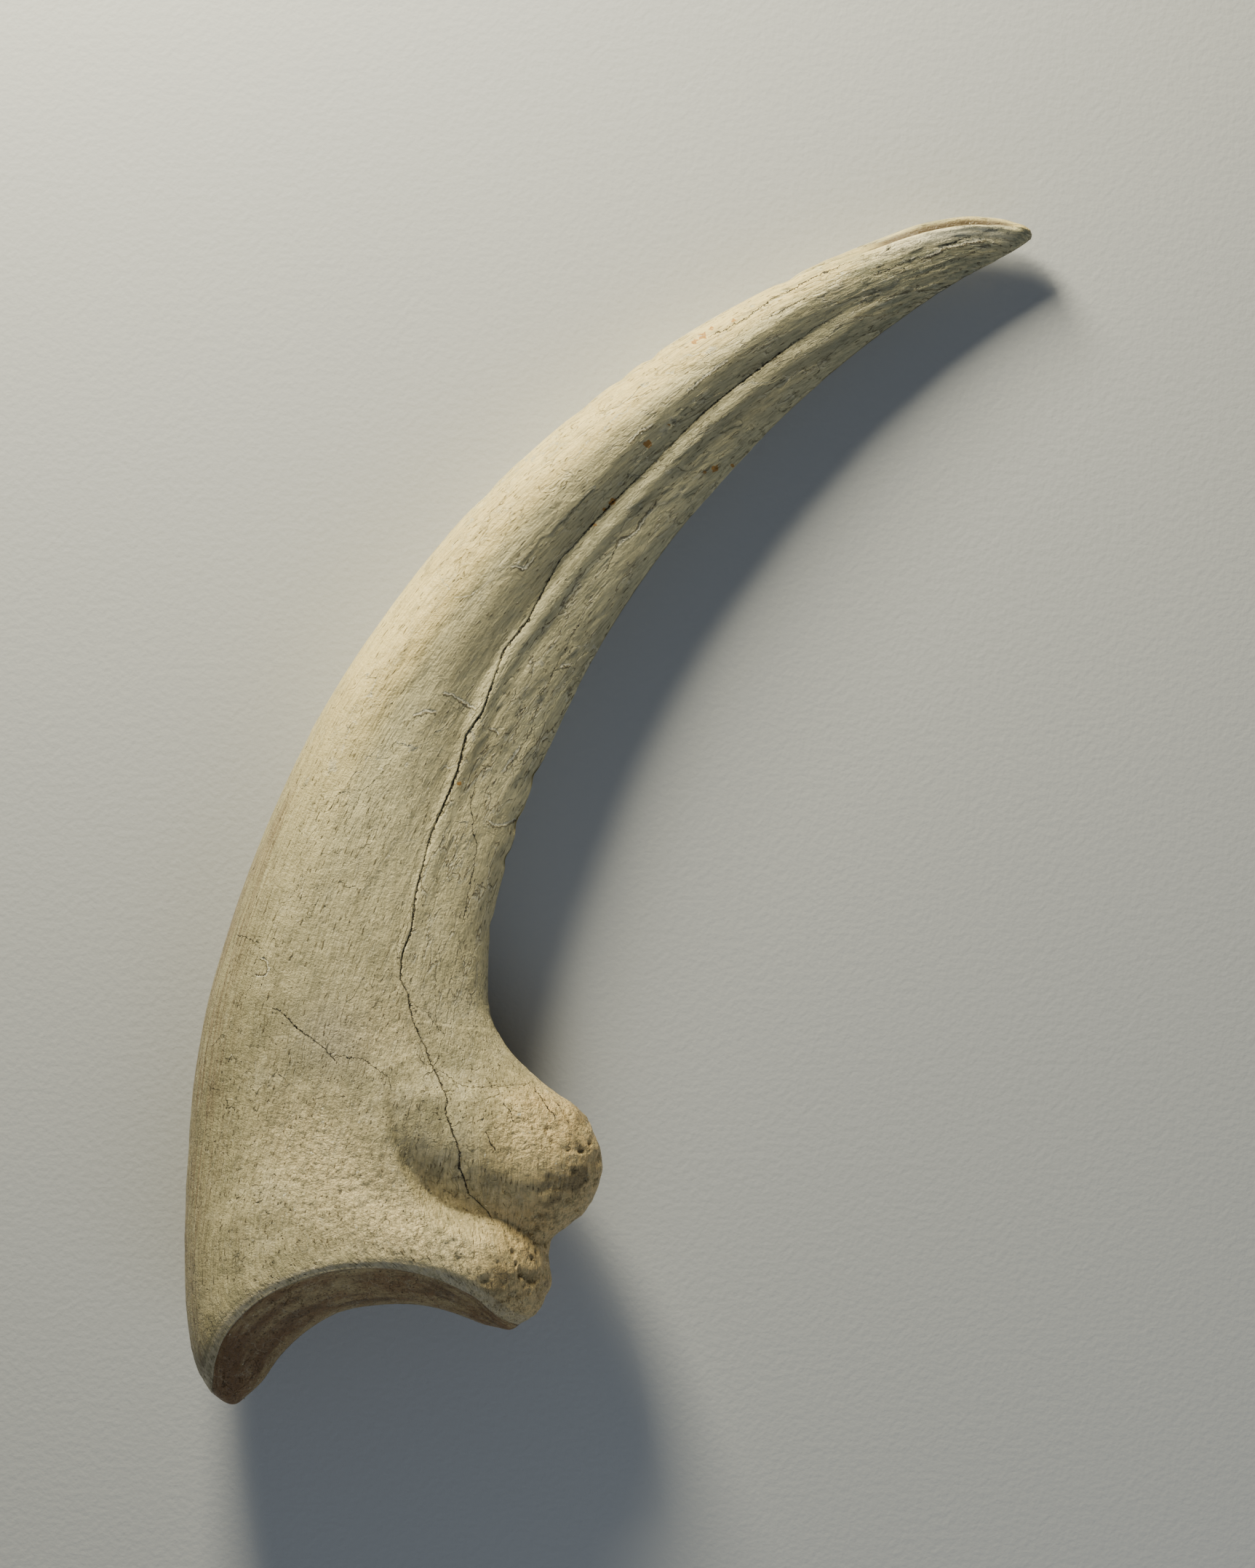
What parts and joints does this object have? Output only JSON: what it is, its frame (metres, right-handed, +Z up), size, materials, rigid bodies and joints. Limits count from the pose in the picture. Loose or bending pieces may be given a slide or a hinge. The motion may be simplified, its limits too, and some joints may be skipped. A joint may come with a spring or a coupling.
{
  "type": "dinosaur fossil claw",
  "caption": "Curved fossil claw bone lying on its side: long grooved blade, hollow joint face and a rounded heel inside the curve.",
  "frame": {"origin": "centre of the bounding box's underside: the point on the surface below the middle of the claw as it lies on its side", "axes": "+Z up out of the side that is seen, +Y from the joint end towards the tip, +X towards the inside of the curve"},
  "size_m": [0.1404, 0.1962, 0.0318],
  "materials": {
    "fossil_bone": "satin"
  },
  "bodies": {
    "root": {"claw": "fossil_bone"}
  },
  "joints": []
}
